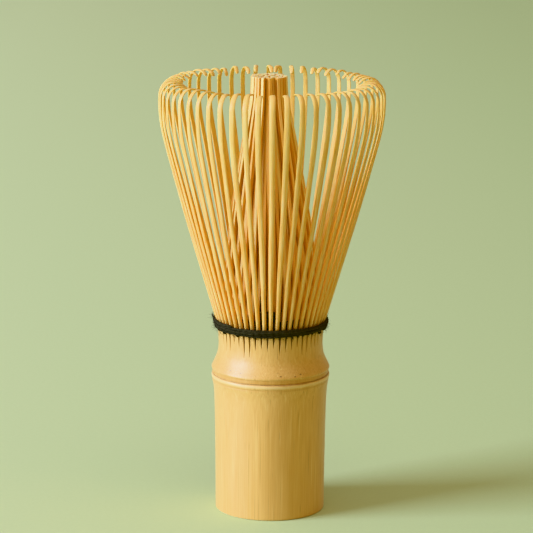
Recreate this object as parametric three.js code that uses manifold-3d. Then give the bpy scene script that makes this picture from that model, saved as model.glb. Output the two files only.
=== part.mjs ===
// Bamboo tea whisk (chasen) standing on its handle, tines up. Millimetres, +Z up; the origin is the centre
// of the handle's foot and -Y is the front. One length of bamboo makes the handle and both rows of tines:
// its wall is slit downwards from the top, the slit ends are parted into an outer row that flares and curls
// over, and an inner row that closes to a tight bundle. One dark thread is woven in and out between the rows.
import * as THREE from "three";
import { mergeVertices } from "three/addons/utils/BufferGeometryUtils.js";
import Module from "manifold-3d";

const wasm = await Module();
wasm.setup();

// ---- driving dimensions -------------------------------------------------------------------------------
const TINES = 54; // in each row
const PITCH = (2 * Math.PI) / TINES;
const GAP = 0.3; // clearance between neighbouring solids

const FOOT_R = 14.48; // outside of the handle at the foot
const EDGE = 0.3; // eased edge round the foot
const BORE_R = 10.4; // hollow culm, open at the foot
const NODE_R = 15.6; // outside of the culm's node
const NODE_Z = 37.0; // height of the dark line in the node's groove
const WAIST_R = 13.72; // the shaved waist under the tines
const SPLIT_Z = 49.6; // where the slit wall ends, under the thread
const SPLIT_R = 14.02; // outside of the slit wall there
const SHELF_Z = 47.0; // top of the inner half of the wall, which carries the inner row
const STUB_R = 12.9; // inner face of the outer half of the wall

const TINE_ROOT_Z = SPLIT_Z + GAP;
const CROWN_R = 29.45; // widest point of the outer row
const CURL_Z = 110.6; // where the curl starts, straight above the widest point
const TOP_Z = 115.0; // top of the curls
const CURL_R = 25.9; // radius of the circle that the tops of the curls lie on
const HOOK_REACH = 2.3; // bend of the hook past the top of a curl, inwards and down, at the back of the row
const HOOK_DROP = 2.4;
const HOOK_TURN = THREE.MathUtils.degToRad(72); // how far the hook turns down past level there
const FRONT_REACH = 4.4; // the same three at the front, where the hooks are more open
const FRONT_DROP = 1.9;
const FRONT_TURN = THREE.MathUtils.degToRad(44);
const CROWD = 0.35; // how far the right and back of the row leans round the crown, in pitches
const ROOT_WIDTH = 1.12; // across a tine at the thread, halfway up and at the end of its hook
const TINE_WIDTH = 1.4;
const TIP_WIDTH = 1.12;
const ROOT_THICK = 1.0; // through a tine at the thread and at the end of its hook
const TIP_THICK = 0.38;

const BUNDLE_Z = 115.5; // flat top of the inner bundle
const INNER_R = 12.4; // outside of the inner row at its root
const BAND_R = 10.95; // inner face of the inner row's uncut root
const BAND_Z = 49.5; // top of that root
const INNER_GROUPS = 3;
const BUNDLE_LEAN = -0.85; // sideways, at the top of the bundle
const INNER_TURN = 0.25; // the inner row's twist above its root, in pitches

const THREAD_Z = 50.65; // middle of the thread's outer turns
const THREAD_R = 15.08;

// ---- shared helpers -----------------------------------------------------------------------------------
// Repeatable irregularity of hand work: the same number from -1 to 1 for the same tine and feature.
function uneven(tine, feature) {
  const x = Math.sin(tine * 12.9898 + feature * 78.233) * 43758.5453;
  return (x - Math.floor(x)) * 2 - 1;
}

const smooth = (t) => THREE.MathUtils.smoothstep(t, 0, 1);
const point = (x, y) => new THREE.Vector2(x, y);

function solid(geometry) {
  const bare = new THREE.BufferGeometry().setAttribute("position", geometry.getAttribute("position"));
  if (geometry.index) bare.setIndex(geometry.index);
  const merged = mergeVertices(bare, 1e-4);
  return new wasm.Manifold(
    new wasm.Mesh({
      numProp: 3,
      vertProperties: merged.getAttribute("position").array,
      triVerts: new Uint32Array(merged.index.array),
    }),
  );
}

function geometryOf(manifold) {
  const mesh = manifold.getMesh();
  const geometry = new THREE.BufferGeometry();
  geometry.setAttribute("position", new THREE.BufferAttribute(mesh.vertProperties, 3));
  geometry.setIndex(new THREE.BufferAttribute(mesh.triVerts, 1));
  return geometry;
}

// A profile of (radius, height) points turned about the Z axis, with facet corners in line with the tines.
function turned(profile) {
  return new THREE.LatheGeometry(profile, TINES).rotateX(Math.PI / 2);
}

// A strip whose side view is the (radius, height) outline between an outer line and its inner face.
// thickness(share of the line's length) is its size through, width(height) is its size across, and
// azimuth(radius, height) turns each point about the Z axis.
function strip(outer, thickness, width, azimuth) {
  const reached = [0];
  for (let i = 1; i < outer.length; i++) reached.push(reached[i - 1] + outer[i].distanceTo(outer[i - 1]));
  const length = reached[outer.length - 1];
  const normals = outer.map((p, i) => {
    const before = outer[Math.max(i - 1, 0)];
    const after = outer[Math.min(i + 1, outer.length - 1)];
    return point(after.y - before.y, before.x - after.x).normalize();
  });
  const inner = outer.map((p, i) => p.clone().addScaledVector(normals[i], -thickness(reached[i] / length)));
  const outline = new THREE.Shape([...outer, ...inner.reverse()]);
  const geometry = new THREE.ExtrudeGeometry(outline, { depth: 1, steps: 1, bevelEnabled: false });
  const place = geometry.getAttribute("position");
  for (let i = 0; i < place.count; i++) {
    const [r, z, side] = [place.getX(i), place.getY(i), 0.5 - place.getZ(i)];
    const across = side * width(z);
    const turn = azimuth(r, z);
    const x = across * Math.cos(turn) + r * Math.sin(turn);
    const y = across * Math.sin(turn) - r * Math.cos(turn);
    place.setXYZ(i, x, y, z);
  }
  return geometry;
}

// ---- materials ----------------------------------------------------------------------------------------
const bambooSkin = new THREE.MeshStandardMaterial({ color: 0xdcb368, roughness: 0.42, metalness: 0 });
const bambooTine = new THREE.MeshStandardMaterial({ color: 0xe2b462, roughness: 0.5, metalness: 0 });
const bambooInner = new THREE.MeshStandardMaterial({ color: 0xd9a75a, roughness: 0.6, metalness: 0 });
const cotton = new THREE.MeshStandardMaterial({ color: 0x1d211c, roughness: 0.9, metalness: 0 });

const whisk = new THREE.Group();

function add(name, geometry, material, turn = 0) {
  const mesh = new THREE.Mesh(geometry, material);
  mesh.name = name;
  mesh.rotation.z = turn;
  whisk.add(mesh);
}

// ---- handle: the culm with its node, diaphragm and slit top ------------------------------------------------
function handleProfile() {
  const body = [point(FOOT_R, EDGE), point(14.55, 12), point(14.72, 25), point(14.95, 31.8), point(15.2, 34.1)];
  const ridge = [
    point(15.42, NODE_Z - 1.9),
    point(15.58, NODE_Z - 1.4),
    point(15.6, NODE_Z - 0.7),
    point(15.52, NODE_Z - 0.2),
  ];
  const groove = [point(15.26, NODE_Z), point(15.38, NODE_Z + 0.2), point(15.4, NODE_Z + 1.1)];
  const shoulder = new THREE.SplineCurve([
    point(NODE_R - 0.02, NODE_Z + 1.4),
    point(15.0, 39.9),
    point(14.05, 42.1),
    point(WAIST_R, 45.3),
    point(SPLIT_R, SPLIT_Z),
  ]).getPoints(7);
  return [
    point(0, 37.6),
    point(7, 37.9),
    point(10.2, 38.9),
    point(10.5, 40.5),
    point(BAND_R, SHELF_Z),
    point(STUB_R, SHELF_Z),
    point(STUB_R, SPLIT_Z),
    ...[...body, ...ridge, ...groove, ...shoulder].reverse(),
    point(FOOT_R - EDGE, 0),
    point(BORE_R, 0),
    point(BORE_R, 34.0),
    point(8, 35.3),
    point(0, 35.6),
  ];
}

// One slit of the wall: widest at the top and closing to a line where the splitting stopped.
function slit(index) {
  const depth = 2.4 + 3.2 * (0.5 + 0.5 * uneven(index, 1)) ** 1.6;
  const halfWidth = 0.32;
  const above = SPLIT_Z + 1;
  const wedge = new THREE.Shape([point(0, SPLIT_Z - depth), point(halfWidth, above), point(-halfWidth, above)]);
  const geometry = new THREE.ExtrudeGeometry(wedge, { depth: 2.2, steps: 1, bevelEnabled: false });
  geometry.translate(0, 0, STUB_R - 0.3).rotateX(Math.PI / 2).rotateZ((index + 0.5) * PITCH);
  return solid(geometry);
}

function handle() {
  let culm = solid(turned(handleProfile().reverse()));
  for (let i = 0; i < TINES; i++) culm = culm.subtract(slit(i));
  return geometryOf(culm);
}

// ---- outer row ----------------------------------------------------------------------------------------
const shaft = new THREE.SplineCurve([
  point(14.07, TINE_ROOT_Z),
  point(14.55, 51.6),
  point(17.4, 61.2),
  point(22.3, 77.8),
  point(26.5, 93.0),
  point(28.66, 101.5),
  point(29.4, 106.8),
  point(CROWN_R, CURL_Z),
]);
const SHAFT_STATIONS = [0, 0.13, 0.42, 0.6, 0.76, 0.88, 1];

// The curl and hook of a tine; back is 0 at the front of the row and 1 at its back.
function curlLine(back) {
  const { lerp } = THREE.MathUtils;
  const up = Math.PI / 2;
  const curl = new THREE.EllipseCurve(CURL_R, CURL_Z, CROWN_R - CURL_R, TOP_Z - CURL_Z, 0, up);
  const drop = lerp(FRONT_DROP, HOOK_DROP, back);
  const end = up + lerp(FRONT_TURN, HOOK_TURN, back);
  const hook = new THREE.EllipseCurve(CURL_R, TOP_Z - drop, lerp(FRONT_REACH, HOOK_REACH, back), drop, up, end);
  return [...curl.getPoints(4).slice(1), ...hook.getPoints(2).slice(1)];
}

// The share of CROWD that a tine leans by: it sets in just left of the front and dies out at the left.
function crowded(index) {
  const degrees = ((index * 360) / TINES + 10) % 360;
  return smooth(degrees / 30) * smooth((330 - degrees) / 95);
}

function outerTine(index) {
  const back = 0.5 - 0.5 * Math.cos(index * PITCH);
  const line = [...SHAFT_STATIONS.map((t) => shaft.getPoint(t)), ...curlLine(back)];
  const thickness = (share) => THREE.MathUtils.lerp(ROOT_THICK, TIP_THICK, smooth(share * 1.1));
  const front = Math.max(0, Math.cos(index * PITCH)) ** 8; // the tines split widest are at the front
  const breadth = TINE_WIDTH * (1 + 0.14 * front + 0.05 * uneven(index, 4));
  const width = (z) => {
    const full = THREE.MathUtils.lerp(ROOT_WIDTH, breadth, smooth((z - 52) / 24));
    return THREE.MathUtils.lerp(full, TIP_WIDTH, smooth((z - 96) / (TOP_Z - 96)));
  };
  const lean = THREE.MathUtils.degToRad(0.4 * uneven(index, 2)) + CROWD * PITCH * crowded(index);
  const sway = 0.45 * uneven(index, 3); // sideways at the hook's end
  const azimuth = (r, z) => {
    const up = (z - TINE_ROOT_Z) / (TOP_Z - TINE_ROOT_Z);
    const over = z > CURL_Z ? (CROWN_R - r) / (CROWN_R - CURL_R + HOOK_REACH) : 0;
    return lean * up + (sway * over * over) / r;
  };
  return strip(line, thickness, width, azimuth);
}

// ---- inner row ----------------------------------------------------------------------------------------
// The six tines of one repeat close into rings inside one another: [ring, azimuth shift in pitches at the top].
const REPEAT = [
  ["outside", 0],
  ["middle", 0.5],
  ["outside", 0],
  ["core", 0],
  ["outside", 0],
  ["middle", -0.5],
];
const RINGS = {
  outside: { inset: 0, width: 0.85 },
  middle: { inset: 1.05, width: 0.9 },
  core: { inset: 2.1, width: 1.1 },
  heart: { inset: 3.15, width: 1.0 },
};
const innerShaft = new THREE.SplineCurve([
  point(INNER_R, BAND_Z - 0.4),
  point(12.2, 62),
  point(11.1, 75),
  point(9.2, 88),
  point(6.85, 101),
  point(5.15, 110),
  point(4.8, BUNDLE_Z),
]);

// Every third core tine goes to the heart of the bundle, and the two beside it close up towards each other.
function ringOf(index) {
  const [ring, shift] = REPEAT[index % REPEAT.length];
  if (ring !== "core") return { ...RINGS[ring], shift };
  const turn = Math.floor(index / REPEAT.length) % 3;
  if (turn === 1) return { ...RINGS.heart, shift: 0 };
  return { ...RINGS.core, shift: turn === 0 ? 1.5 : -1.5 };
}

function innerTine(index) {
  const ring = ringOf(index);
  const inset = (z) => ring.inset * smooth((z - 52) / 34);
  const line = innerShaft.getPoints(5).map((p) => point(p.x - inset(p.y), p.y));
  const thickness = () => 0.85;
  const width = (z) => THREE.MathUtils.lerp(0.95, ring.width, smooth((z - 60) / 40));
  const start = (index + 0.5) * PITCH;
  const twist = (z) => INNER_TURN * smooth((z - 52) / 12) + ring.shift * smooth((z - 70) / 40);
  const azimuth = (r, z) => start + PITCH * twist(z);
  const geometry = strip(line, thickness, width, azimuth);
  const place = geometry.getAttribute("position");
  for (let i = 0; i < place.count; i++) {
    place.setX(i, place.getX(i) + BUNDLE_LEAN * smooth((place.getZ(i) - 52) / (BUNDLE_Z - 52)));
  }
  return solid(geometry);
}

// The uncut root that a third of the inner row grows from: an arc of the wall's inner half.
function innerRoot(first, count) {
  const margin = GAP / INNER_R / 2;
  const from = first * PITCH + margin - Math.PI / 2;
  const to = (first + count) * PITCH - margin - Math.PI / 2;
  const arc = new THREE.Shape();
  arc.absarc(0, 0, INNER_R + 0.1, from, to, false);
  arc.absarc(0, 0, BAND_R + 0.05, to, from, true);
  const height = BAND_Z - SHELF_Z - GAP;
  const geometry = new THREE.ExtrudeGeometry(arc, { depth: height, curveSegments: count, bevelEnabled: false });
  return solid(geometry.translate(0, 0, SHELF_Z + GAP));
}

function innerGroup(group) {
  const count = TINES / INNER_GROUPS;
  let joined = innerRoot(group * count, count);
  for (let i = 0; i < count; i++) joined = joined.add(innerTine(group * count + i));
  return geometryOf(joined);
}

// ---- thread -------------------------------------------------------------------------------------------
const OUTER_TURNS = [
  point(14.22, THREAD_Z - 1.1),
  point(14.75, THREAD_Z - 1.2),
  point(THREAD_R, THREAD_Z - 0.5),
  point(THREAD_R, THREAD_Z + 0.5),
  point(14.95, THREAD_Z + 1.1),
  point(14.72, THREAD_Z + 0.7),
  point(14.3, THREAD_Z - 0.5),
];
const INNER_TURNS = [
  point(12.62, 49.9),
  point(12.85, 49.9),
  point(13.0, 51.2),
  point(13.75, 53.6),
  point(13.3, 54.2),
  point(12.72, 54.0),
];

// A pass of the thread through the gap between two outer tines, from the outer turns to the inner ones.
function pass(index) {
  const geometry = new THREE.BoxGeometry(0.2, 1.75, 0.7);
  geometry.translate(0, -13.62, THREAD_Z).rotateZ((index + 0.5) * PITCH);
  return solid(geometry);
}

// The knot, tucked inside the outer row at the front.
function knot() {
  return solid(new THREE.SphereGeometry(1, 12, 8).scale(3.0, 0.65, 2.2).translate(0, -13.55, 55.4));
}

function thread() {
  const ring = (profile) => solid(turned([...profile, profile[0]]));
  let woven = ring(OUTER_TURNS).add(ring(INNER_TURNS)).add(knot());
  for (let i = 0; i < TINES; i += 3) woven = woven.add(pass(i));
  return geometryOf(woven);
}

// ---- assembly -----------------------------------------------------------------------------------------
add("handle_culm", handle(), bambooSkin);
add("binding_thread", thread(), cotton);
for (let g = 0; g < INNER_GROUPS; g++) add(`inner_tines_${g + 1}`, innerGroup(g), bambooInner);
for (let i = 0; i < TINES; i++) {
  const name = `outer_tine_${String(i + 1).padStart(2, "0")}`;
  add(name, outerTine(i), bambooTine, i * PITCH);
}

export default whisk;
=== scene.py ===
import math

import bpy
import numpy as np
from mathutils import Euler, Matrix, Vector


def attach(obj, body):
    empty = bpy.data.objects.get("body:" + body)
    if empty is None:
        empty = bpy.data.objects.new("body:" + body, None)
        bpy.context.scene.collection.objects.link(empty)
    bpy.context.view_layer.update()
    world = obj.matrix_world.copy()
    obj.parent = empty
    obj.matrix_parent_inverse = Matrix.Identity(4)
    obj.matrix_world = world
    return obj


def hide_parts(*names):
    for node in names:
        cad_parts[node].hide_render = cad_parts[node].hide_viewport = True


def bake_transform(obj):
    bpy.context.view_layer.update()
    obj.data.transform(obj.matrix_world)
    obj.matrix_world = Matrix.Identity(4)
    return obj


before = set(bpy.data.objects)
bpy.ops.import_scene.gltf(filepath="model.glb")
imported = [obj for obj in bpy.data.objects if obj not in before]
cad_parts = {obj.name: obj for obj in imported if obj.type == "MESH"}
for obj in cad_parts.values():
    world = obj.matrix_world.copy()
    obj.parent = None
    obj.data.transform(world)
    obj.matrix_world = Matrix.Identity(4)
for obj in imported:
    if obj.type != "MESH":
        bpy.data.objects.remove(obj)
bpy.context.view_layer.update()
scene = bpy.context.scene

# Lengths are in millimetres until a mesh is made; MM turns them into metres.
MM = 0.001
TAU = 2 * math.pi

# The same driving sizes as the CAD part. Azimuth 0 is the front, along -Y, and 90 degrees is +X.
TINES = 54
PITCH = TAU / TINES
SPLIT_Z = 49.6
TINE_ROOT_Z = 49.9
NODE_Z = 37.0
BORE_R = 10.4
FOOT_R = 14.48
STUB_R = 12.9
SHELF_Z = 47.0
BAND_R = 10.95
CURL_Z = 110.6
TOP_Z = 115.0
CROWN_R = 29.45
CURL_R = 25.9
BUNDLE_Z = 115.5
BUNDLE_LEAN = -0.85
INNER_GROUPS = 3
INNER_TURN = 0.25
CROWD = 0.35
THREAD_Z = 50.65

# A tine's hook past the top of its curl, at the front and at the back of the crown.
FRONT_TURN = 44
FRONT_REACH = 4.4
FRONT_DROP = 1.9
BACK_TURN = 72
BACK_REACH = 2.3
BACK_DROP = 2.4
HOOK_SPREAD = 0.10

# The features that vary from tine to tine. Each number gives uneven() a different draw.
SLIT_DEPTH, LEAN, SWAY, BREADTH, WAVE, TWIST, TONE = range(1, 8)
HOOK_TURN, HOOK_REACH, HOOK_DROP, HOOK_TOP = range(11, 15)
SPLINT_TOP, SPLINT_INSET, SPLINT_WIDTH, SPLINT_DRIFT, SPLINT_PHASE, SPLINT_SPIN, SPLINT_TONE = range(21, 28)
LACING_SAG = 31


def uneven(tine, feature):
    """A fixed uneven number from -1 to 1 for that tine and feature, as in the CAD part."""
    x = math.sin(tine * 12.9898 + feature * 78.233) * 43758.5453
    return (x - math.floor(x)) * 2 - 1


def smooth(t):
    """0 to 1 as t goes from 0 to 1, level at both ends."""
    t = np.clip(t, 0, 1)
    return t * t * (3 - 2 * t)


def lerp(a, b, t):
    """a at 0, b at 1, and in proportion between."""
    return a + (b - a) * t


def spline(knots, steps):
    """Points along a smooth curve through the knots, evenly stepped from knot to knot."""
    knots = np.array(knots, float)
    spans = len(knots) - 1
    t = np.linspace(0, spans, steps)
    i = np.minimum(t.astype(int), spans - 1)
    f = (t - i)[:, None]
    before = knots[np.maximum(i - 1, 0)]
    a = knots[i]
    b = knots[i + 1]
    after = knots[np.minimum(i + 2, spans)]
    slope_a = (b - before) / 2
    slope_b = (after - a) / 2
    cubic = 2 * a - 2 * b + slope_a + slope_b
    square = -3 * a + 3 * b - 2 * slope_a - slope_b
    return ((cubic * f + square) * f + slope_a) * f + a


def lengths(points):
    """Length along a line of points, at each point."""
    return np.concatenate([[0], np.cumsum(np.linalg.norm(np.diff(points, axis=0), axis=1))])


def unit(v):
    return v / np.maximum(np.linalg.norm(v, axis=-1, keepdims=True), 1e-9)


def polar(r, azimuth, z):
    """Points at that radius, azimuth and height."""
    return np.stack([r * np.sin(azimuth), -r * np.cos(azimuth), z], axis=-1)


# Camera

VIEW_ANGLE = 0.218
VIEW_ROLL = math.radians(0.34)
VIEW_FROM = (-0.0012, -0.7178, 0.2243)
camera_data = bpy.data.cameras.new("camera")
camera_data.sensor_width = 36
camera_data.lens = 189.12
camera_data.clip_start = 0.01
camera_data.clip_end = 50
camera = bpy.data.objects.new("camera", camera_data)
scene.collection.objects.link(camera)
camera.matrix_world = (
    Matrix.Translation(VIEW_FROM)
    @ Euler((math.pi / 2 - VIEW_ANGLE, 0, 0)).to_matrix().to_4x4()
    @ Matrix.Rotation(VIEW_ROLL, 4, "Z")
)
scene.camera = camera


# Meshes

def grid(rows, columns):
    """Four-sided faces over rows x columns points, closed round each row."""
    row, column = np.meshgrid(np.arange(rows - 1), np.arange(columns), indexing="ij")
    following = (column + 1) % columns
    a = row * columns + column
    b = row * columns + following
    return np.stack([a, b, b + columns, a + columns], axis=-1).reshape(-1, 4)


class Build:
    """Collects points, faces and per-point values, and makes one mesh object from them."""

    def __init__(self):
        self.points = []
        self.faces = []
        self.values = {}
        self.count = 0

    def add(self, points, faces, **values):
        points = np.asarray(points, float).reshape(-1, 3)
        self.points.append(points)
        self.faces.extend((np.asarray(f) + self.count).tolist() for f in faces)
        for name, value in values.items():
            value = np.asarray(value, float)
            if value.ndim == 0:
                value = np.full(len(points), float(value))
            self.values.setdefault(name, []).append(value)
        self.count += len(points)

    def make(self, name, material, crease=40):
        """The mesh object, smooth except at edges sharper than crease degrees."""
        points = np.concatenate(self.points) * MM
        mesh = bpy.data.meshes.new(name)
        mesh.from_pydata(points.tolist(), [], self.faces)
        for key, parts in self.values.items():
            data = np.concatenate(parts)
            kind = "FLOAT" if data.ndim == 1 else "FLOAT_VECTOR"
            attribute = mesh.attributes.new(key, kind, "POINT")
            field = "value" if data.ndim == 1 else "vector"
            attribute.data.foreach_set(field, data.astype(np.float32).ravel())
        mesh.validate()
        mesh.shade_smooth()
        mesh.set_sharp_from_angle(angle=math.radians(crease))
        mesh.materials.append(material)
        made = bpy.data.objects.new(name, mesh)
        scene.collection.objects.link(made)
        return made


def sweep(build, path, across, outward, section, **values):
    """A capped strip of varying section along a path. section is rows x points x 2, across and outward."""
    rows, sides = section.shape[:2]
    points = (
        path[:, None, :]
        + section[..., 0:1] * across[:, None, :]
        + section[..., 1:2] * outward[:, None, :]
    )
    first_cap = np.arange(sides)[::-1]
    last_cap = np.arange(sides) + (rows - 1) * sides
    build.add(points, [*grid(rows, sides), first_cap, last_cap], **values)


# Materials

class Paint:
    """A material and short ways to add nodes to it."""

    def __init__(self, name):
        self.material = bpy.data.materials.new(name)
        self.material.use_nodes = True
        self.tree = self.material.node_tree
        self.shader = self.tree.nodes["Principled BSDF"]

    def node(self, kind, inputs=(), **settings):
        made = self.tree.nodes.new(kind)
        for key, value in settings.items():
            setattr(made, key, value)
        for key, value in dict(inputs).items():
            self.put(made.inputs[key], value)
        return made

    def put(self, socket, value):
        if isinstance(value, bpy.types.NodeSocket):
            self.tree.links.new(value, socket)
        elif hasattr(value, "__len__") and len(value) == 3 and socket.type == "RGBA":
            socket.default_value = (*value, 1)
        else:
            socket.default_value = value

    def attribute(self, name, vector=False):
        made = self.node("ShaderNodeAttribute", attribute_name=name)
        return made.outputs["Vector" if vector else "Fac"]

    def place(self):
        """Where a point is, in millimetres."""
        at = self.node("ShaderNodeTexCoord").outputs["Object"]
        return self.scaled(at, (1 / MM,) * 3)

    def scaled(self, vector, factors):
        made = self.node("ShaderNodeVectorMath", {0: vector, 1: factors}, operation="MULTIPLY")
        return made.outputs["Vector"]

    def split(self, vector):
        return self.node("ShaderNodeSeparateXYZ", {0: vector}).outputs

    def maths(self, operation, a, b=0.0):
        return self.node("ShaderNodeMath", {0: a, 1: b}, operation=operation).outputs[0]

    def times(self, a, b):
        return self.maths("MULTIPLY", a, b)

    def noise(self, vector, detail=2.0, roughness=0.5):
        """Soft noise with its crests about one unit apart."""
        inputs = {"Vector": vector, "Scale": 1.0, "Detail": detail, "Roughness": roughness}
        return self.node("ShaderNodeTexNoise", inputs).outputs["Fac"]

    def cells(self, vector, output="Distance"):
        """Scattered cells about one unit apart: the distance to each one's middle, or its random colour."""
        return self.node("ShaderNodeTexVoronoi", {"Vector": vector, "Scale": 1.0}).outputs[output]

    def chance(self, vector):
        """One random number from 0 to 1 for each cell."""
        return self.split(self.cells(vector, output="Color"))[0]

    def between(self, value, low, high, to_low=0.0, to_high=1.0, soft=True):
        """value from low..high to to_low..to_high, and no further."""
        made = self.node(
            "ShaderNodeMapRange",
            {0: value, 1: low, 2: high, 3: to_low, 4: to_high},
            interpolation_type="SMOOTHSTEP" if soft else "LINEAR",
            clamp=True,
        )
        return made.outputs[0]

    def band(self, value, low, high, edge):
        """1 between low and high, with soft edges."""
        rise = self.between(value, low - edge, low + edge)
        fall = self.between(value, high - edge, high + edge, 1.0, 0.0)
        return self.times(rise, fall)

    def mix(self, amount, a, b):
        made = self.node("ShaderNodeMix", data_type="RGBA")
        self.put(made.inputs[0], amount)
        self.put(made.inputs[6], a)
        self.put(made.inputs[7], b)
        return made.outputs[2]

    def bump(self, height, strength, distance):
        inputs = {"Height": height, "Strength": strength, "Distance": distance}
        return self.node("ShaderNodeBump", inputs).outputs["Normal"]

    def finish(self, colour, roughness, normal=None, **settings):
        """Sets the shader; settings are its other inputs, with _ for each space."""
        self.put(self.shader.inputs["Base Color"], colour)
        self.put(self.shader.inputs["Roughness"], roughness)
        if normal is not None:
            self.put(self.shader.inputs["Normal"], normal)
        for key, value in settings.items():
            self.put(self.shader.inputs[key.replace("_", " ")], value)
        return self.material


SKIN = (0.745, 0.394, 0.096)
SKIN_PALE = (0.86, 0.535, 0.180)
SKIN_DEEP = (0.62, 0.308, 0.060)
# Painted shade for the deep slits.
SLIT_SHADE = (0.22, 0.080, 0.022)

# Light goes a little way into shaved bamboo.
TRANSLUCENT = {
    "Subsurface_Weight": 0.22,
    "Subsurface_Radius": (1.0, 0.62, 0.20),
    "Subsurface_Scale": 0.0008,
}


def handle_material():
    p = Paint("bamboo_skin")
    at = p.place()
    x, y, z = p.split(at)
    cut = p.attribute("cut")
    inside = p.attribute("inside")
    end = p.attribute("end")

    # Long fibres, broad patches and short darker dashes run along the culm.
    fibres = p.noise(p.scaled(at, (4.5, 4.5, 0.03)), 4.0, 0.65)
    patches = p.noise(p.scaled(at, (0.22, 0.22, 0.03)))
    dash_at = p.scaled(at, (1.1, 1.1, 0.09))
    dashes = p.between(p.cells(dash_at), 0.05, 0.16, 1, 0)
    dashes = p.times(dashes, p.between(p.chance(dash_at), 0.70, 0.74))
    hairs = p.noise(p.scaled(at, (3.2, 3.2, 0.045)), 1.0)
    colour = p.mix(p.between(fibres, 0.25, 0.78), SKIN, SKIN_PALE)
    colour = p.mix(p.between(patches, 0.42, 0.70, 0.0, 0.30), colour, SKIN_DEEP)
    colour = p.mix(p.times(dashes, 0.45), colour, (0.40, 0.17, 0.04))
    colour = p.mix(p.between(hairs, 0.64, 0.74, 0.0, 0.55), colour, (0.50, 0.24, 0.045))
    colour = p.mix(p.between(hairs, 0.36, 0.26, 0.0, 0.45), colour, (0.95, 0.70, 0.30))

    # The node ring: a band of painted shade under the upper edge, a painted highlight on the ridge, a thin
    # line of painted shade in the groove and painted shade in the crease below.
    wander = p.noise(p.scaled(at, (0.16, 0.16, 0.0)))
    level = p.maths("ADD", z, p.between(wander, 0.3, 0.7, -0.10, 0.10, soft=False))
    grain = p.noise(p.scaled(at, (1.6, 1.6, 0.5)), 3.0, 0.7)
    lip_shade = p.band(level, NODE_Z + 0.1, NODE_Z + 1.28, 0.10)
    ridge_highlight = p.band(level, NODE_Z - 0.95, NODE_Z - 0.22, 0.14)
    line = p.band(level, NODE_Z - 0.13, NODE_Z + 0.13, 0.07)
    crease = p.band(level, NODE_Z - 1.75, NODE_Z - 1.25, 0.2)
    # Painted shade under the lip, in the groove and in the crease, and a painted highlight on the ridge.
    colour = p.mix(p.times(lip_shade, p.between(grain, 0.3, 0.7, 0.35, 0.75)), colour, (0.60, 0.27, 0.045))
    colour = p.mix(p.times(ridge_highlight, 0.55), colour, (0.97, 0.72, 0.34))
    colour = p.mix(p.times(line, p.between(grain, 0.25, 0.6, 0.30, 0.65)), colour, (0.26, 0.10, 0.025))
    colour = p.mix(p.times(crease, 0.35), colour, (0.50, 0.22, 0.035))

    # Pin-head pores in a loose row above the ring.
    pore_at = p.scaled(at, (0.50, 0.50, 0.85))
    pores = p.between(p.cells(pore_at), 0.11, 0.19, 1, 0)
    pores = p.times(pores, p.band(z, NODE_Z + 1.8, NODE_Z + 3.2, 0.25))
    colour = p.mix(p.times(pores, 0.8), colour, (0.24, 0.09, 0.02))

    # Painted shade deep in the slits, darkest at the back of each, the bare wood of the bore, and the end
    # grain, whose fibre bundles are darker towards the skin.
    colour = p.mix(p.between(cut, 0.1, 0.9), colour, SLIT_SHADE)
    wood = p.mix(p.between(fibres, 0.3, 0.7), (0.66, 0.42, 0.17), (0.80, 0.58, 0.29))
    colour = p.mix(inside, colour, wood)
    bundles = p.between(p.cells(p.scaled(at, (2.3, 2.3, 0.2))), 0.18, 0.34, 1, 0)
    radius = p.maths("SQRT", p.maths("ADD", p.times(x, x), p.times(y, y)))
    bundles = p.times(bundles, p.between(radius, BORE_R, FOOT_R, 0.25, 0.85))
    colour = p.mix(end, colour, p.mix(bundles, (0.82, 0.60, 0.30), (0.36, 0.17, 0.05)))

    smudge = p.noise(p.scaled(at, (0.35, 0.35, 0.12)), 3.0)
    roughness = p.between(smudge, 0.3, 0.7, 0.42, 0.52)
    roughness = p.maths("ADD", roughness, p.times(p.maths("MAXIMUM", inside, end), 0.3))
    height = p.maths("SUBTRACT", fibres, p.times(p.maths("ADD", dashes, pores), 0.8))
    return p.finish(
        colour, roughness, p.bump(height, 0.25, 0.00012),
        Specular_IOR_Level=0.9, Sheen_Weight=0.4, Sheen_Roughness=0.5, Sheen_Tint=(1.0, 1.0, 0.88, 1.0),
    )


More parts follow.
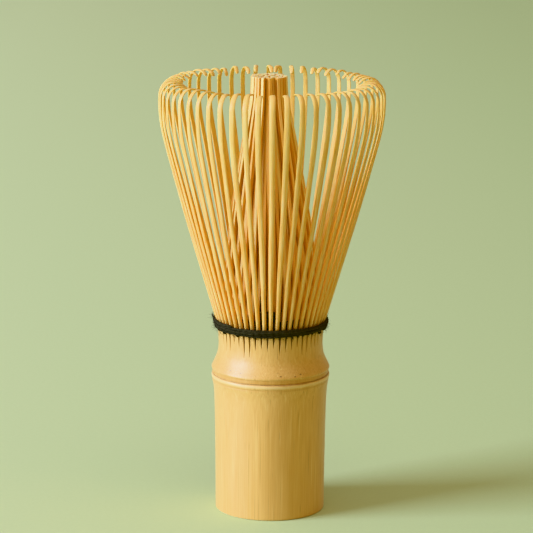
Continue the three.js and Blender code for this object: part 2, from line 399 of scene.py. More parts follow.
def outer_material():
    p = Paint("outer_tine_bamboo")
    fibre = p.attribute("fibre", vector=True)
    face = p.attribute("face")
    tone = p.attribute("tone")
    along = p.attribute("along")

    # Each face has streaks between two colours, and each is paler towards the crown.
    streaks = p.noise(p.scaled(fibre, (2.8, 2.8, 0.10)), 3.0, 0.65)
    streak = p.between(streaks, 0.3, 0.7)
    crown = p.between(along, 0.45, 0.92)
    low_skin = p.mix(streak, (0.93, 0.455, 0.090), (1.0, 0.72, 0.32))
    high_skin = p.mix(streak, (0.98, 0.57, 0.145), (1.0, 0.72, 0.30))
    low_wall = p.mix(streak, (0.93, 0.40, 0.060), (1.0, 0.56, 0.145))
    high_wall = p.mix(streak, (0.97, 0.58, 0.14), (1.0, 0.70, 0.24))
    # The inner face is the culm's paler flesh, with painted light added for light shining through the thin
    # tines, most at the hooks.
    low_inner = p.mix(streak, (1.0, 0.61, 0.150), (1.0, 0.71, 0.24))
    high_inner = p.mix(streak, (1.0, 0.74, 0.27), (1.0, 0.81, 0.36))
    broad = p.noise(p.scaled(fibre, (0.9, 0.9, 0.05)))
    skin = p.mix(crown, low_skin, high_skin)
    skin = p.mix(p.between(broad, 0.42, 0.7, 0.0, 0.3), skin, (0.80, 0.47, 0.14))
    wall = p.mix(crown, low_wall, high_wall)
    inner = p.mix(p.between(along, 0.80, 0.96), low_inner, high_inner)
    colour = p.mix(p.between(face, 0.25, 0.75), wall, skin)
    colour = p.mix(p.between(face, -0.25, -0.75), colour, inner)

    # Some tines are browner, every root is darkened by painted shade from the thread, and a few nicks are
    # dark.
    colour = p.mix(p.between(tone, -1, 1, 0.0, 0.12, soft=False), colour, (0.66, 0.36, 0.08))
    # Painted shade at the roots, where the thread shadows them.
    colour = p.mix(p.between(along, 0.10, 0.0, 0.0, 0.5), colour, (0.45, 0.19, 0.03))
    nick_at = p.scaled(fibre, (1.6, 1.6, 0.16))
    nicks = p.times(p.between(p.cells(nick_at), 0.10, 0.22, 1, 0), p.between(p.chance(nick_at), 0.80, 0.84))
    colour = p.mix(p.times(nicks, 0.4), colour, (0.36, 0.15, 0.03))
    roughness = p.between(face, 0.0, 0.8, 0.56, 0.42)
    return p.finish(colour, roughness, p.bump(streaks, 0.3, 0.00008), **TRANSLUCENT)


def inner_material():
    p = Paint("inner_tine_bamboo")
    fibre = p.attribute("fibre", vector=True)
    face = p.attribute("face")
    tone = p.attribute("tone")
    end = p.attribute("end")

    streaks = p.noise(p.scaled(fibre, (4.5, 4.5, 0.10)), 3.0, 0.65)
    streak = p.between(streaks, 0.3, 0.7)
    broad = p.noise(p.scaled(fibre, (0.8, 0.8, 0.06)))
    skin = p.mix(streak, (0.93, 0.48, 0.11), (1.0, 0.66, 0.26))
    skin = p.mix(p.between(broad, 0.4, 0.7, 0.0, 0.4), skin, (0.88, 0.50, 0.13))
    wall = p.mix(streak, (0.80, 0.38, 0.065), (0.93, 0.54, 0.14))

    # The skin side of a splint is golden; some splints are paler there, and some are darker all over.
    on_skin = p.between(face, 0.2, 0.8)
    colour = p.mix(on_skin, wall, skin)
    pale = p.mix(on_skin, wall, (1.0, 0.76, 0.33))
    colour = p.mix(p.between(tone, 0.25, -0.55), colour, pale)
    colour = p.mix(p.between(tone, 0.25, 0.9, 0.0, 0.7), colour, (0.74, 0.36, 0.06))

    # End grain at the cut top.
    grain = p.noise(p.scaled(fibre, (3.0, 3.0, 3.0)), 3.0, 0.7)
    top = p.mix(p.between(tone, -0.6, 0.8), (1.0, 0.88, 0.50), (1.0, 0.80, 0.38))
    top = p.mix(p.between(grain, 0.48, 0.66, 0, 0.4), top, (0.84, 0.55, 0.20))
    colour = p.mix(end, colour, top)
    roughness = p.between(streaks, 0.2, 0.8, 0.50, 0.62)
    return p.finish(colour, roughness, p.bump(streaks, 0.35, 0.00010), **TRANSLUCENT)


def thread_material():
    p = Paint("cotton_thread")
    fibre = p.attribute("fibre", vector=True)
    fuzz = p.noise(p.scaled(fibre, (9.0, 9.0, 2.5)), 3.0, 0.7)
    wear = p.noise(p.scaled(fibre, (0.6, 0.6, 0.25)))
    colour = p.mix(p.between(fuzz, 0.3, 0.7), (0.020, 0.018, 0.011), (0.085, 0.070, 0.042))
    colour = p.mix(p.between(wear, 0.5, 0.75, 0, 0.4), colour, (0.085, 0.072, 0.040))
    return p.finish(colour, 0.95, p.bump(fuzz, 0.5, 0.00008), Specular_IOR_Level=0.2)


handle_bamboo = handle_material()
outer_bamboo = outer_material()
inner_bamboo = inner_material()
cotton = thread_material()


# Handle: one turned culm with a slit between every two tines.

def handle_profile():
    """Rows from the middle of the bore's ceiling, down, round the foot, up the skin and into the chamber.

    Each row is a radius, a height, and how much of it is inside, end grain and skin.
    """
    rows = []

    def row(r, z, inside=0.0, end=0.0, skin=0.0):
        rows.append((r, z, inside, end, skin))

    ceiling = [(0.0, 35.6), (4.0, 35.5), (8.0, 35.3), (9.6, 34.9), (10.3, 34.2), (BORE_R, 33.4)]
    for r, z in ceiling:
        row(r, z, inside=1)
    for z in np.linspace(30, 1.0, 8):
        row(BORE_R, z, inside=1)
    row(BORE_R + 0.02, 0.35, inside=0.9, end=0.1)
    row(BORE_R + 0.12, 0.09, end=0.9)
    row(BORE_R + 0.32, 0.0, end=1)
    for r in np.linspace(BORE_R + 0.7, FOOT_R - 0.5, 6):
        row(r, 0.0, end=1)
    row(FOOT_R - 0.26, 0.015, end=1)
    row(FOOT_R - 0.12, 0.08, end=0.7)
    row(FOOT_R - 0.04, 0.18, end=0.15)
    row(FOOT_R, 0.34, skin=1)
    body = spline([(FOOT_R, 0.5), (14.55, 12.0), (14.72, 25.0), (14.95, 31.8), (15.2, 34.1)], 34)
    lower = spline([
        (15.2, 34.1), (15.36, 34.8), (15.44, 35.2), (15.43, 35.5), (15.52, 35.8), (15.61, 36.2),
        (15.60, 36.55), (15.5, 36.82), (15.30, 36.93), (15.22, 37.02),
    ], 34)
    upper = spline([
        (15.22, 37.02), (15.30, 37.12), (15.41, 37.3), (15.42, 37.8), (15.44, 38.14), (15.53, 38.28),
        (15.60, 38.42), (15.60, 38.6), (15.5, 38.9), (15.0, 39.9), (14.45, 41.1), (14.02, 42.4),
        (13.80, 43.8), (13.72, 45.2),
    ], 52)
    neck = spline([(13.72, 45.2), (13.78, 46.8), (13.90, 48.3), (14.02, SPLIT_Z)], 24)
    for part in (body, lower[1:], upper[1:], neck[1:]):
        for r, z in part:
            row(r, z, skin=1)
    row(13.96, SPLIT_Z + 0.05, inside=0.5)
    row(STUB_R + 0.1, SPLIT_Z + 0.05, inside=1)
    row(STUB_R, SPLIT_Z - 0.1, inside=1)
    row(STUB_R, SHELF_Z + 0.05, inside=1)
    row(STUB_R - 0.1, SHELF_Z, inside=1)
    row(BAND_R + 0.1, SHELF_Z, inside=1)
    row(BAND_R, SHELF_Z - 0.1, inside=1)
    chamber = [(10.8, 44.0), (10.5, 40.5), (10.2, 38.9), (8.8, 38.3), (7.0, 37.9), (3.5, 37.7), (0.0, 37.6)]
    for r, z in chamber:
        row(r, z, inside=1)
    return np.array(rows)


SLIT_HALF = 0.34
SLIT_BACK_R = 13.0
WALL_R = 14.0

# The points across each pitch: 0 is on the skin, 1 is at the back of the slit and 0.09 is on its edge.
SLIT_DROPS = [0, 0, 0, 0, 0.09, 1, 1, 0.09, 0, 0, 0]
EDGE_SINK = 0.05


def slit_offsets(half):
    """Azimuths of those points from the middle of a slit of that half width."""
    back = max(half * 0.85, 0.03) / WALL_R
    edge = max(half, 0.06) / WALL_R
    skin = max(half + 0.07, 0.12) / WALL_R
    far = PITCH / 2
    spread = far - skin
    return [
        -far, spread * 0.45 - far, spread * 0.8 - far, -skin, -edge, -back,
        back, edge, skin, far - spread * 0.8, far - spread * 0.45,
    ]


def out_of_round(azimuth):
    """How far the culm stands proud of a circle."""
    return 0.045 * math.sin(2 * azimuth + 0.8) + 0.03 * math.sin(3 * azimuth + 2.1)


def ring_lift(azimuth):
    """How far the node ring is off level."""
    slow = 0.07 * math.sin(azimuth + 1.0) + 0.05 * math.sin(2 * azimuth + 0.5)
    return slow + 0.035 * math.sin(5 * azimuth + 0.3)


def make_handle():
    profile = handle_profile()
    points = []
    slit_shade_values = []
    for r, z, _, _, skin in profile:
        # The ring is off level only near the node, and the culm is round again at its neck.
        ring = float(smooth((z - 32) / 4) * smooth((43 - z) / 4)) if skin else 0.0
        rough = skin * float(smooth((48 - z) / 6))
        for i in range(TINES):
            apex = SPLIT_Z - (2.7 + 3.6 * (0.5 + 0.5 * uneven(i, SLIT_DEPTH)) ** 1.5)
            # How far the slit is open here, from 0 below its apex to 1 above the split.
            share = 0.0 if skin == 0 and z < SHELF_Z else (z - apex) / (SPLIT_Z + 1 - apex)
            share = min(max(share, 0.0), 1.0)
            bow = 0.03 * math.sin(z * 2.1 + i * 1.7) * share / WALL_R
            depth = min(1.0, share / 0.22) * max(r - SLIT_BACK_R, 0) if skin else 0.0
            for offset, drop in zip(slit_offsets(SLIT_HALF * share**0.85), SLIT_DROPS):
                azimuth = (i + 0.5) * PITCH + bow + offset
                sink = EDGE_SINK * min(1.0, share * 4) if 0 < drop < 1 else drop * depth
                radius = r - sink + out_of_round(azimuth) * rough
                lift = ring_lift(azimuth) * ring
                points.append((radius * math.sin(azimuth), -radius * math.cos(azimuth), z + lift))
                # How much painted shade each point of a slit gets: most at its back, none on the skin.
                slit_shade_values.append(drop * min(1.0, share * 5) if skin else 0.0)
    around = TINES * len(SLIT_DROPS)
    flags = np.repeat(profile[:, 2:4], around, axis=0)
    faces = list(grid(len(profile), around)[:, ::-1])
    build = Build()
    build.add(points, faces, cut=slit_shade_values, inside=flags[:, 0], end=flags[:, 1])
    return build.make("handle_culm_turned", handle_bamboo)


handle = make_handle()
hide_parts("handle_culm")
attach(handle, "handle")


# Outer tines

SHAFT = [
    (14.07, TINE_ROOT_Z), (14.55, 51.6), (17.4, 61.2), (22.3, 77.8), (26.5, 93.0), (28.66, 101.5),
    (29.4, 106.8), (CROWN_R, CURL_Z),
]
SHAFT_STEPS = 58
HOOK_STEPS = 40
ROOT_WIDTH = 1.12
TINE_WIDTH = 1.42
TIP_WIDTH = 1.20
ROOT_THICK = 1.0
TIP_THICK = 0.38

# Sections of the tines: across as a share of half the width, depth as a share of the thickness, and the
# face that each point lies on, 1 on the skin, 0 on a cut wall and -1 on the inner face.
TINE_SECTION = np.array([
    (-0.82, 0.25, 0.8), (-0.47, 0.03, 1), (0.0, -0.07, 1), (0.47, 0.03, 1), (0.82, 0.25, 0.8),
    (0.99, 0.50, 0), (0.955, 0.88, 0),
    (0.80, 0.98, -1), (0.0, 1.00, -1), (-0.80, 0.98, -1),
    (-0.955, 0.88, 0), (-0.99, 0.50, 0),
])
INNER_SECTION = np.array([
    (-0.80, 0.0, 1), (0.80, 0.0, 1), (0.98, 0.16, 0.3), (0.95, 0.84, 0),
    (0.78, 1.0, 0), (-0.78, 1.0, 0), (-0.95, 0.84, 0), (-0.98, 0.16, 0.3),
])


def strip_section(shape, width, thick, taper):
    """That shape of section along a strip, narrower by taper at its inner face."""
    section = np.empty((len(width), len(shape), 2))
    section[..., 0] = shape[:, 0] * (width / 2)[:, None] * (1 - taper * shape[:, 1])
    section[..., 1] = -shape[:, 1] * thick[:, None]
    return section


def fibre_places(section, steps, across_shift, depth_shift):
    """Where each point lies in the wood: across, deep and along. The shifts make strips differ."""
    along = np.broadcast_to(steps[:, None], section.shape[:2])
    places = [section[..., 0] + across_shift, section[..., 1] + depth_shift, along]
    return np.stack(places, axis=-1).reshape(-1, 3)


def turned(across, outward, angle):
    """The across direction turned towards outward by that angle."""
    return across * np.cos(angle)[:, None] + outward * np.sin(angle)[:, None]


def resample(line, steps):
    """The same line with a point at each of the given lengths."""
    s = lengths(line)
    return np.stack([np.interp(steps, s, line[:, k]) for k in range(line.shape[1])], axis=-1)


def outer_path(turn_degrees, reach, drop, top):
    """Radius and height of a tine's outer face, the length to each point, and the length to the curl."""
    foot = np.array([[14.02, SPLIT_Z + 0.07]])
    shaft = spline(SHAFT, 240)
    angles = np.radians(np.linspace(0, 90, 40))[1:]
    curl_r = CURL_R + (CROWN_R - CURL_R) * np.cos(angles)
    curl_z = CURL_Z + (top - CURL_Z) * np.sin(angles)
    curl = np.stack([curl_r, curl_z], axis=-1)
    angles = np.radians(np.linspace(90, 90 + turn_degrees, 30))[1:]
    hook = np.stack([CURL_R + reach * np.cos(angles), top - drop + drop * np.sin(angles)], axis=-1)
    line = np.concatenate([foot, shaft, curl, hook])
    total = lengths(line)[-1]
    bend_start = total - lengths(np.concatenate([shaft[-1:], curl, hook]))[-1]
    shaft_steps = np.linspace(0, bend_start, SHAFT_STEPS)[:-1]
    steps = np.concatenate([shaft_steps, np.linspace(bend_start, total, HOOK_STEPS)])
    return resample(line, steps), steps, bend_start


def crowded(i):
    """The share of CROWD that a tine leans by: none just left of the front, most at the right and back."""
    degrees = (i * 360 / TINES + 10) % 360
    return smooth(degrees / 30) * smooth((330 - degrees) / 95)


def tine_width(i, z, share):
    """Width along a tine: narrow at the root, broad at half height and tapered to the tip."""
    front = max(0.0, math.cos(i * PITCH)) ** 8
    broad = TINE_WIDTH * (1 + 0.14 * front + 0.06 * uneven(i, BREADTH))
    width = lerp(ROOT_WIDTH, broad, smooth((z - 52) / 24))
    width = lerp(width, TIP_WIDTH + 0.38 * front, smooth((z - 96) / 18))
    width = width * (1 - 0.08 * smooth((share - 0.93) / 0.07))
    return width * (1 - 0.30 * smooth((share - 0.99) / 0.01))


def tine_axes(path, azimuth):
    """Unit vectors across and outward from a tine, steady even where the tine runs along a radius."""
    level = np.zeros_like(azimuth)
    tangent = unit(np.gradient(path, axis=0))
    radial = polar(level + 1, azimuth, level)
    sideways = polar(level + 1, azimuth + math.pi / 2, level)
    side = unit(np.cross(tangent, radial))
    side = np.where((side * sideways).sum(-1, keepdims=True) < 0, -side, side)
    along_radius = np.abs((tangent * radial).sum(-1, keepdims=True)) > 0.9
    side = unit(np.where(along_radius, sideways, side))
    side = unit(side - (side * tangent).sum(-1, keepdims=True) * tangent)
    return tangent, side, unit(np.cross(side, tangent))


def make_outer_tine(i):
    back = 0.5 - 0.5 * math.cos(i * PITCH)
    turn = lerp(FRONT_TURN, BACK_TURN, back) + 7 * uneven(i, HOOK_TURN)
    reach = lerp(FRONT_REACH, BACK_REACH, back) * (1 + HOOK_SPREAD * uneven(i, HOOK_REACH))
    drop = lerp(FRONT_DROP, BACK_DROP, back) * (1 + HOOK_SPREAD * uneven(i, HOOK_DROP))
    top = TOP_Z - 0.25 + 0.25 * uneven(i, HOOK_TOP)
    line, steps, bend_start = outer_path(turn, reach, drop, top)
    r, z = line[:, 0], line[:, 1]
    share = steps / steps[-1]

    # A tine leans sideways as it rises, sways off its line as it curls over, and waves a little.
    lean = math.radians(0.4) * uneven(i, LEAN) + CROWD * PITCH * crowded(i)
    sway = (0.45 + 0.45 * back) * uneven(i, SWAY)
    up = (z - TINE_ROOT_Z) / (TOP_Z - TINE_ROOT_Z)
    over = np.where(steps > bend_start, (CROWN_R - r) / (CROWN_R - CURL_R + BACK_REACH), 0.0)
    wave = 0.10 * np.sin(steps * 0.11 + 3 * uneven(i, WAVE)) * smooth(share * 3) * smooth((1 - share) * 3)
    azimuth = i * PITCH + lean * up + sway * over**2 / r + wave / r
    path = polar(r, azimuth, z)

    tangent, side, outward = tine_axes(path, azimuth)
    across = turned(side, outward, np.radians(14) * uneven(i, TWIST) * over**1.5)
    outward = unit(np.cross(across, tangent))
    thick = lerp(ROOT_THICK, TIP_THICK, smooth(share * 1.1))
    section = strip_section(TINE_SECTION, tine_width(i, z, share), thick, 0.06)
    rows, sides = section.shape[:2]
    build = Build()
    sweep(
        build, path, across, outward, section,
        fibre=fibre_places(section, steps, 7.3 * i, 3.1 * i),
        face=np.tile(TINE_SECTION[:, 2], rows),
        along=np.repeat(share, sides),
        tone=uneven(i, TONE),
    )
    name = f"outer_tine_{i + 1:02d}"
    made = build.make(f"{name}_bent", outer_bamboo, crease=60)
    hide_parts(name)
    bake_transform(made)


for tine in range(TINES):
    make_outer_tine(tine)


# Inner tines: straight split strips, gathered to a tight bundle at the top.

INNER_SHAFT = [
    (12.4, 49.1), (12.2, 62.0), (11.1, 75.0), (9.2, 88.0), (6.85, 101.0), (5.15, 110.0),
    (4.8, BUNDLE_Z + 0.35),
]
INNER_STEPS = 52
INNER_THICK = 0.95
INNER_ROOT_WIDTH = 0.95

# The splints close up in rings, each with how far in it lies and how wide its splints are at the top.
RINGS = {
    "outside": (0.0, 0.88),
    "middle": (1.05, 0.95),
    "core": (2.10, 1.80),
    "heart": (3.15, 2.00),
}

# The ring that each splint in turn joins, and how many pitches it shifts round to fit there.
REPEAT = [
    ("outside", 0.0), ("middle", 0.5), ("outside", 0.0), ("core", 0.0), ("outside", 0.0), ("middle", -0.5),
]

# Two splints at the front have sunk deeper than the rest of their ring.
SUNKEN = (2, 52)
SUNKEN_BY = 1.3


def inner_ring(i):
    ring, shift = REPEAT[i % len(REPEAT)]
    if ring != "core":
        return ring, shift
    turn = (i // len(REPEAT)) % 3
    return [("core", 1.5), ("heart", 0.0), ("core", -1.5)][turn]


def inner_path(i, inset, shift):
    """A splint's path and azimuth at each point, and the length to each point."""
    line = spline(INNER_SHAFT, 200)
    cut_down = 0.05 + 0.05 * uneven(i, SPLINT_TOP)
    steps = np.linspace(0, lengths(line)[-1] - cut_down, INNER_STEPS)
    line = resample(line, steps)
    r, z = line[:, 0], line[:, 1]
    r = r - inset * smooth((z - 52) / 34)
    if i in SUNKEN:
        r = r - SUNKEN_BY * smooth((z - 66) / 30)
    r = r - 0.26 * (0.5 + 0.5 * uneven(i, SPLINT_INSET)) * smooth((z - 60) / 30)
    turn = INNER_TURN * smooth((z - 52) / 12) + shift * smooth((z - 70) / 40)
    azimuth = (i + 0.5) * PITCH + PITCH * turn
    drift = 0.13 * uneven(i, SPLINT_DRIFT) * np.sin((z - 49) * 0.055 + uneven(i, SPLINT_PHASE))
    azimuth = azimuth + drift * smooth((z - 54) / 20) / np.maximum(r, 3)
    path = polar(r, azimuth, z)
    path[:, 0] += BUNDLE_LEAN * smooth((z - 52) / (BUNDLE_Z - 52))
    return path, azimuth, steps


def add_inner_tine(build, i):
    ring, shift = inner_ring(i)
    inset, ring_width = RINGS[ring]
    path, azimuth, steps = inner_path(i, inset, shift)
    z = path[:, 2]
    width = lerp(INNER_ROOT_WIDTH, ring_width, smooth((z - 60) / 40))
    width = width * (0.96 + 0.05 * uneven(i, SPLINT_WIDTH))

    tangent = unit(np.gradient(path, axis=0))
    level = np.zeros_like(azimuth)
    across = polar(level + 1, azimuth + math.pi / 2, level)
    across = unit(across - (across * tangent).sum(-1, keepdims=True) * tangent)
    outward = unit(np.cross(across, tangent))
    spin = math.radians(18) * uneven(i, SPLINT_SPIN) * smooth((z - 70) / 30)
    across, outward = turned(across, outward, spin), turned(outward, -across, spin)
    section = strip_section(INNER_SECTION, width, np.full_like(z, INNER_THICK), 0.07)

    # One more row, a hair above the last, holds the end grain, so that it doesn't run down the sides.
    section = np.concatenate([section, section[-1:] * 0.999])
    path = np.concatenate([path, path[-1:] + tangent[-1:] * 0.02])
    across = np.concatenate([across, across[-1:]])
    outward = np.concatenate([outward, outward[-1:]])
    steps = np.append(steps, steps[-1] + 0.02)
    end = np.zeros(section.shape[:2])
    end[-1] = 1
    sweep(
        build, path, across, outward, section,
        fibre=fibre_places(section, steps, 5.7 * i, 2.9 * i),
        face=np.tile(INNER_SECTION[:, 2], len(path)),
        end=end.ravel(),
        tone=uneven(i, SPLINT_TONE),
    )


# The uncut root that joins a group's splints: radius and height round its section.
ROOT_SECTION = np.array([
    (11.05, 47.3), (12.45, 47.3), (12.5, 47.4), (12.5, 49.4), (12.45, 49.5), (11.05, 49.5), (11.0, 49.4),
    (11.0, 47.4),
])
ROOT_STEPS = 60
ROOT_GAP = 0.02


def add_inner_root(build, start, finish):
    arc = np.linspace(start + ROOT_GAP, finish - ROOT_GAP, ROOT_STEPS)
    sides = len(ROOT_SECTION)
    r, z = np.tile(ROOT_SECTION, (ROOT_STEPS, 1)).T
    points = polar(r, np.repeat(arc, sides), z)
    caps = [np.arange(sides)[::-1], np.arange(sides) + (ROOT_STEPS - 1) * sides]
    faces = [*grid(ROOT_STEPS, sides), *caps]
    build.add(points, faces, fibre=points * (1, 1, 0.2), face=0.0, end=0.0, tone=0.3)


def make_inner_group(g):
    build = Build()
    share = TINES // INNER_GROUPS
    first, last = g * share, (g + 1) * share
    for i in range(first, last):
        add_inner_tine(build, i)
    add_inner_root(build, first * PITCH, last * PITCH)
    name = f"inner_tines_{g + 1}"
    made = build.make(f"{name}_split", inner_bamboo, crease=50)
    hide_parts(name)
    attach(made, "handle")


for group in range(INNER_GROUPS):
    make_inner_group(group)


# Thread: three-ply black cotton, wound outside and inside, laced through the gaps and knotted at the front.

PLIES = 3
PLY_TWIST = TAU / 1.7
YARN_SIDES = 12
YARN_STEP = 0.2
WINDING_R = 14.40
KNOT_Z = 54.7


def add_yarn(build, path, radius, seed):
    """A twisted yarn of that radius along a smooth path, drawn in at its ends."""
    s = lengths(path)
    steps = np.linspace(0, s[-1], max(8, int(s[-1] / YARN_STEP)))
    path = resample(path, steps)
    tangent = unit(np.gradient(path, axis=0))
    guide = np.zeros_like(path)
    guide[:, 2] = 1
    guide = np.where(np.abs(tangent[:, 2:3]) > 0.9, polar(1.0, 0.4, 0.0), guide)
    across = unit(np.cross(tangent, guide))
    outward = unit(np.cross(across, tangent))
    around = np.linspace(0, TAU, YARN_SIDES, endpoint=False)
    lobes = 1 + 0.16 * np.cos(PLIES * (around[None, :] - PLY_TWIST * steps[:, None] / PLIES + seed))
    swell = 1 + 0.06 * np.sin(steps * 1.3 + seed * 5)
    ring = radius * lobes * swell[:, None] * 0.9
    ends = np.minimum(1, np.minimum(steps, steps[-1] - steps) / 0.3 + 0.25)
    ring = ring * ends[:, None]
    section = np.stack([ring * np.cos(around), ring * np.sin(around)], axis=-1)
    fibre = np.stack([
        np.broadcast_to(np.cos(around) * radius, ring.shape),
        np.broadcast_to(np.sin(around) * radius, ring.shape),
        np.broadcast_to(steps[:, None] + seed * 11, ring.shape),
    ], axis=-1).reshape(-1, 3)
    sweep(build, path, across, outward, section, fibre=fibre)


def winding(turns, start, z_from, z_to, radius_at, wobble):
    """A path of that many turns round the whisk, rising from one height to the other."""
    a = np.arange(start, start + TAU * turns, 0.012)
    t = (a - start) / (TAU * turns)
    z = lerp(z_from, z_to, t) + wobble * (np.sin(a * 3.1 + z_from) + 0.6 * np.sin(a * 7.3 + 2 * z_from))
    return polar(radius_at(a, z), a, z)


def over_tines(a, z):
    """Radius of a yarn that lies on the outer tines and dips between them."""
    return WINDING_R + np.maximum((z - TINE_ROOT_Z) * 0.27, 0) + 0.06 * np.cos(a * TINES)


def over_winding(a, z):
    return over_tines(a, z) + 0.34


def behind_tines(a, z):
    """Radius of a yarn between the outer tines and the inner ones."""
    return 13.0 + 0.22 * (z - 50.2) - 0.02 * np.cos(a * TINES)


def add_outer_winding(build):
    """Four turns that make the band, and three thinner strands that wander over it."""
    start = math.radians(-96)
    band = winding(4.15, start, THREAD_Z - 0.98, THREAD_Z + 0.98, over_tines, 0.07)
    add_yarn(build, band, 0.34, 0.2)
    for turns, begin, low, high, wobble, radius in (
        (1.6, 1.9, -0.55, 0.50, 0.22, 0.27),
        (1.3, 3.6, 0.62, -0.70, 0.30, 0.20),
        (1.1, 0.4, -0.85, 0.05, 0.26, 0.17),
    ):
        strand = winding(turns, start + begin, THREAD_Z + low, THREAD_Z + high, over_winding, wobble)
        add_yarn(build, strand, radius, begin)


def add_lacing(build):
    """A loop of yarn under the band in every gap. Every third one goes on through to the inner winding."""
    for gap in range(TINES):
        a = (gap + 0.5) * PITCH
        low = THREAD_Z - 1.05 - 0.55 * (0.5 + 0.5 * uneven(gap, LACING_SAG))
        if gap % 3 == 0:
            radius = 0.27
            points = [
                (14.75, a - 0.035, THREAD_Z - 0.3), (14.62, a - 0.012, low + 0.2), (14.1, a, low),
                (13.4, a, THREAD_Z - 0.2), (13.05, a, THREAD_Z + 0.2),
            ]
        else:
            radius = 0.23
            points = [
                (14.72, a - 0.03, THREAD_Z - 0.4), (14.5, a - 0.005, low + 0.25), (14.0, a, low + 0.1),
                (13.6, a, THREAD_Z - 0.1),
            ]
        add_yarn(build, spline([polar(*point) for point in points], 24), radius, gap * 0.7)


def add_tail(build):
    """The loose end, which lies against the first tines on the left."""
    points = [(14.95, -84, 51.4), (15.15, -87, 51.7), (15.35, -90, 52.0), (15.5, -92, 52.3)]
    path = spline([polar(r, math.radians(degrees), z) for r, degrees, z in points], 40)
    add_yarn(build, path, 0.22, 3.1)


def add_knot(build):
    """A wad of turns to and fro behind the front tines."""
    t = np.linspace(0, TAU * 8, 700)
    swing = 2.05 * np.sin(t + 0.35 * np.sin(t * 0.41))
    path = np.stack([
        swing - 0.55,
        -13.42 - 0.30 * np.cos(t * 2.2 + 0.7) + 0.012 * swing**2,
        KNOT_Z + 1.25 * np.sin(2.31 * t + 0.6) * np.cos(0.23 * t) + 0.25 * np.sin(t * 0.7),
    ], axis=-1)
    add_yarn(build, path, 0.27, 2.2)


def add_fibre(build, base, direction, length, droop, radius):
    """One loose cotton fibre, three-sided and thinner towards its tip."""
    t = np.linspace(0, 1, 6)[:, None]
    line = base + direction * length * t + droop * length * t**2
    tangent = unit(np.gradient(line, axis=0))
    across = unit(np.cross(tangent, np.array([0.31, 0.42, 0.85])))
    outward = unit(np.cross(across, tangent))
    around = np.linspace(0, TAU, 3, endpoint=False)
    size = radius * (1 - 0.7 * t)
    section = np.stack([size * np.cos(around), size * np.sin(around)], axis=-1)
    sweep(build, line, across, outward, section, fibre=np.repeat(line, 3, axis=0))


BAND_FIBRES = 1100
TAIL_FIBRES = 26
INNER_FIBRES = 120


def add_loose_fibres(build):
    """Fibres that stand off the band, mostly at its edges, and off the tail and the inner winding."""
    rng = np.random.default_rng(7)
    for _ in range(BAND_FIBRES):
        a = rng.uniform(0, TAU)
        z = THREAD_Z + rng.choice([-1.05, 1.05, 0.0], p=[0.42, 0.33, 0.25]) + rng.normal(0, 0.22)
        base = polar(14.85 + rng.uniform(-0.1, 0.15), a, z)
        radial = polar(1.0, a, 0.0) * rng.uniform(0.15, 0.9)
        direction = unit(radial + rng.normal(0, 0.6, 3) + (0, 0, 0.9 * (z - THREAD_Z)))
        length = rng.uniform(0.35, 1.1)
        add_fibre(build, base, direction, length, rng.normal(0, 0.35, 3), rng.uniform(0.018, 0.032))
    for _ in range(TAIL_FIBRES):
        a = math.radians(rng.normal(-90, 4))
        base = polar(rng.uniform(14.9, 15.4), a, rng.uniform(51.2, 52.4))
        direction = unit(polar(1.0, a, 0.0) * 0.5 + rng.normal(0, 0.5, 3) + (0, 0, 0.5))
        length = rng.uniform(0.4, 1.0)
        add_fibre(build, base, direction, length, rng.normal(0, 0.4, 3), rng.uniform(0.02, 0.035))
    for _ in range(INNER_FIBRES):
        a = rng.uniform(0, TAU)
        base = polar(13.4, a, rng.uniform(53.5, 54.2))
        direction = unit(rng.normal(0, 0.4, 3) + (0, 0, 1))
        length = rng.uniform(0.3, 0.9)
        add_fibre(build, base, direction, length, rng.normal(0, 0.3, 3), rng.uniform(0.018, 0.03))


def make_thread():
    outer = Build()
    add_outer_winding(outer)
    add_lacing(outer)
    add_tail(outer)
    inner = Build()
    add_yarn(inner, winding(6.3, math.radians(150), 50.3, 53.9, behind_tines, 0.05), 0.28, 0.9)
    knot = Build()
    add_knot(knot)
    fibres = Build()
    add_loose_fibres(fibres)
    for build, name in (
        (outer, "thread_outer_winding"),
        (inner, "thread_inner_winding"),
        (knot, "thread_knot"),
        (fibres, "thread_loose_fibres"),
    ):
        made = build.make(name, cotton, crease=75)
        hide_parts("binding_thread")
        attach(made, "handle")


make_thread()


# Floor, lights and tone

FLOOR_R = 6000
FLOOR_SIDES = 96


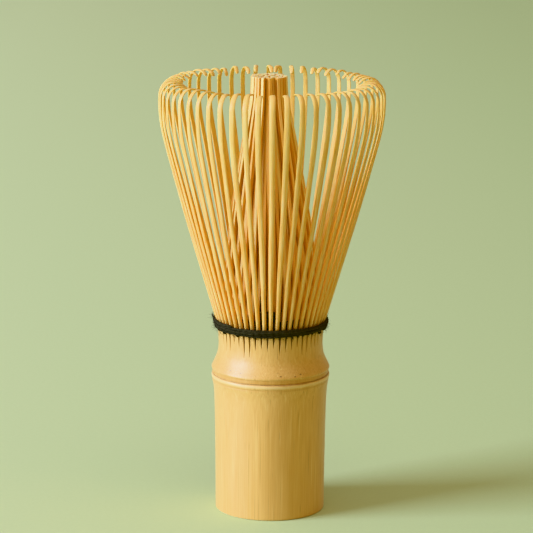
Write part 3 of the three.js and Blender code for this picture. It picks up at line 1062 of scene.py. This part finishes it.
def make_floor():
    """Pale green paper, with painted light: its colour is lighter on the side of the key light."""
    p = Paint("floor_paper")
    at = p.place()
    tooth = p.between(p.noise(p.scaled(at, (0.9, 0.9, 0.9))), 0.3, 0.7)
    left = p.mix(tooth, (0.648, 0.762, 0.462), (0.658, 0.772, 0.472))
    right = p.mix(tooth, (0.514, 0.634, 0.342), (0.524, 0.644, 0.352))
    # Painted light: lighter on the left, towards the key light.
    colour = p.mix(p.between(p.split(at)[0], -150, 150, soft=False), left, right)
    build = Build()
    a = np.linspace(0, TAU, FLOOR_SIDES, endpoint=False)
    flat = np.zeros(FLOOR_SIDES)
    build.add(polar(flat + FLOOR_R, a, flat), [np.arange(FLOOR_SIDES)])
    floor = build.make("floor", p.finish(colour, 0.95))


make_floor()


AIM_HEIGHT = 0.06


def area_light(name, azimuth, elevation, distance, size, power, colour):
    """A square light of that size in metres, aimed at the middle of the whisk."""
    a, e = math.radians(azimuth), math.radians(elevation)
    light = bpy.data.lights.new(name, "AREA")
    light.size = size
    light.energy = power
    light.color = colour
    aim = Vector((0, 0, AIM_HEIGHT))
    away = Vector((math.cos(e) * math.sin(a), -math.cos(e) * math.cos(a), math.sin(e)))
    made = bpy.data.objects.new(name, light)
    made.location = aim + away * distance
    made.rotation_euler = (-away).to_track_quat("-Z", "Y").to_euler()
    scene.collection.objects.link(made)


area_light("key", azimuth=-71, elevation=18, distance=4.5, size=2.2, power=244, colour=(0.96, 1.16, 1.42))
area_light("fill", azimuth=60, elevation=24, distance=2.5, size=1.6, power=2.5, colour=(1.0, 0.42, 0.14))
area_light("overhead", azimuth=20, elevation=72, distance=2.2, size=1.4, power=7, colour=(0.98, 0.85, 0.62))


def make_world():
    """A studio that is dim and warm at the walls and bright overhead."""
    world = bpy.data.worlds.new("studio")
    world.use_nodes = True
    nodes, links = world.node_tree.nodes, world.node_tree.links
    direction = nodes.new("ShaderNodeTexCoord").outputs["Generated"]
    split = nodes.new("ShaderNodeSeparateXYZ")
    links.new(direction, split.inputs[0])
    ramp = nodes.new("ShaderNodeValToRGB")
    links.new(split.outputs["Z"], ramp.inputs["Fac"])
    stops = ramp.color_ramp.elements
    stops[0].position = 0.05
    stops[0].color = (0.20, 0.098, 0.060, 1)
    stops[1].position = 0.95
    stops[1].color = (0.53, 0.475, 0.37, 1)
    links.new(ramp.outputs["Color"], nodes["Background"].inputs["Color"])
    scene.world = world


make_world()

scene.view_settings.view_transform = "Khronos PBR Neutral"
scene.view_settings.look = "None"
